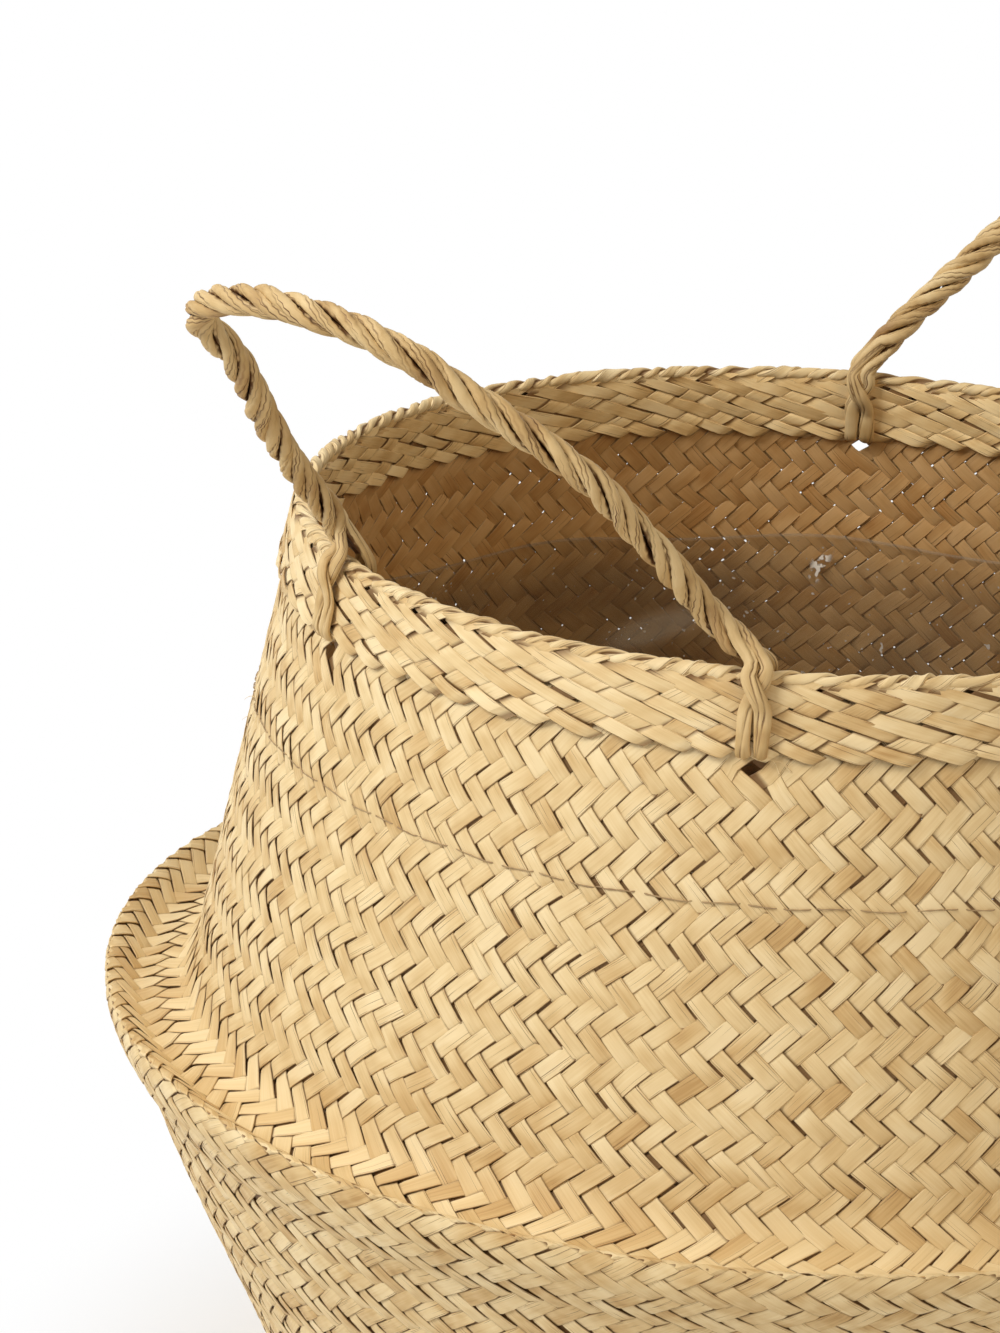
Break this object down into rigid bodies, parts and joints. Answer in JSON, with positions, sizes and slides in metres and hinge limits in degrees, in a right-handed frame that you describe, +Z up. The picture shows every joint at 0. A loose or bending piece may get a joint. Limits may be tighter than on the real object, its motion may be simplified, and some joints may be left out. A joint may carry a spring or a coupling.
{
  "type": "belly basket",
  "caption": "Round plaited sedge basket with a folded belly, a stitched clear liner, a banded rim and twisted rope bow handles.",
  "frame": {"origin": "middle of the floor face that the basket stands on", "axes": "+Z up through the mouth, the handles over -X and +X, each handle swinging about a line along Y"},
  "size_m": [0.4916, 0.4654, 0.4621],
  "materials": {
    "plaited_sedge": "dry plaited sedge, satin on the crowns",
    "plaited_sedge_dark": "dry plaited sedge",
    "rope": "twisted sedge rope, matte with a few glossy stems",
    "thread": "fuzzy sewing thread",
    "clear_film": "clear glossy film"
  },
  "bodies": {
    "basket_body": {"base_mat": "plaited_sedge_dark", "lower_wall": "plaited_sedge", "belly_fold": "plaited_sedge", "neck_fold": "plaited_sedge", "liner": "clear_film"},
    "collar": {"neck_collar": "plaited_sedge", "rim_band": "plaited_sedge", "rim_edge_roll": "plaited_sedge", "liner_stitch": "thread", "left_foot_front": "rope", "left_foot_back": "rope", "right_foot_front": "rope", "right_foot_back": "rope"},
    "left_bow": {"left_handle": "rope"},
    "right_bow": {"right_handle": "rope"}
  },
  "joints": [
    {"name": "neck_press", "type": "slide", "parent": "basket_body", "child": "collar", "axis": [0, 0, 1], "range_m": [-0.06, 0], "deforming": ["neck_fold", "liner"]},
    {"name": "left_handle_swing", "type": "hinge", "parent": "collar", "child": "left_bow", "pos_m": [-0.15013, 0, 0.3617], "axis": [0, -1, 0], "range_deg": [-102, 39]},
    {"name": "right_handle_swing", "type": "hinge", "parent": "collar", "child": "right_bow", "pos_m": [0.15013, 0, 0.3617], "axis": [0, 1, 0], "range_deg": [-110, 32]}
  ]
}
